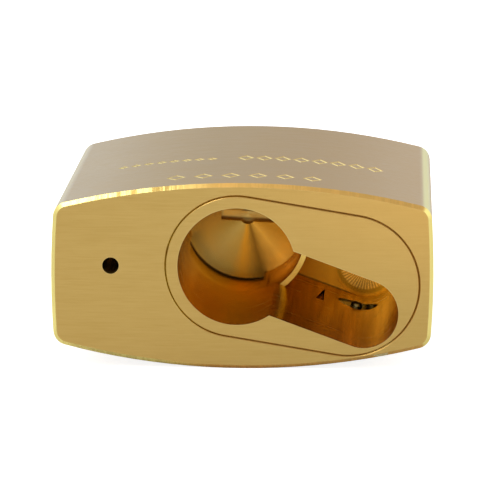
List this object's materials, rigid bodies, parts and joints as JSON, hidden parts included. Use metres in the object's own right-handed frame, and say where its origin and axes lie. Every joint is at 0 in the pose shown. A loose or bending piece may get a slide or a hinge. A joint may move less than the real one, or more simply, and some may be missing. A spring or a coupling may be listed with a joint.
{
  "type": "padlock",
  "caption": "Rectangular brass padlock with bowed faces, a keyhole-shaped cavity for a Euro-profile half cylinder, and a chromed shackle held by two balls.",
  "frame": {"origin": "centre of the whole padlock's box in X and Y, at the lowest line of its bowed back", "axes": "+X across the width, +Y from the bottom face with the cylinder cavity towards the shackle, +Z out of the engraved front; it lies on its back"},
  "size_m": [0.055, 0.0962, 0.027],
  "materials": {
    "satin_brass": "brushed",
    "turned_brass": "turned",
    "steel": "satin",
    "zinc_steel": "zinc plated",
    "spring_steel": "drawn wire",
    "hard_chrome": "polished",
    "shackle_chrome": "polished"
  },
  "bodies": {
    "case": {"body": "satin_brass", "profile_insert": "satin_brass", "insert_pin_lower": "steel", "insert_pin_upper": "steel", "cylinder_screw": "zinc_steel", "thrust_washer": "steel", "heel_stop_pin": "steel", "stop_pin_plug": "satin_brass", "side_plug": "satin_brass", "shackle_spring": "spring_steel"},
    "rotor": {"drive_cup": "turned_brass", "drive_spindle": "steel", "cam_shim": "steel", "return_spring": "spring_steel", "locking_cam": "steel", "retaining_clip": "spring_steel"},
    "heel_ball": {"ball_heel": "hard_chrome"},
    "toe_ball": {"ball_toe": "hard_chrome"},
    "bow": {"shackle": "shackle_chrome", "spring_seat": "turned_brass"}
  },
  "joints": [
    {"name": "shackle_lift", "type": "slide", "parent": "case", "child": "bow", "axis": [0, 1, 0], "range_m": [0, 0.0175], "deforming": ["shackle_spring"]},
    {"name": "cam_turn", "type": "hinge", "parent": "case", "child": "rotor", "pos_m": [-0.0008, -0.0001, 0.01491], "axis": [0, -1, 0], "range_deg": [0, 90]},
    {"name": "heel_ball_slide", "type": "slide", "parent": "case", "child": "heel_ball", "axis": [1, 0, 0], "range_m": [0, 0.0026]},
    {"name": "toe_ball_slide", "type": "slide", "parent": "case", "child": "toe_ball", "axis": [-1, 0, 0], "range_m": [0, 0.0026]}
  ],
  "couplings": [
    {"joint": "cam_turn", "follows": "shackle_lift", "rad_per_m": 89.75},
    {"joint": "heel_ball_slide", "follows": "shackle_lift", "ratio": 0.1485},
    {"joint": "toe_ball_slide", "follows": "shackle_lift", "ratio": 0.1485}
  ]
}
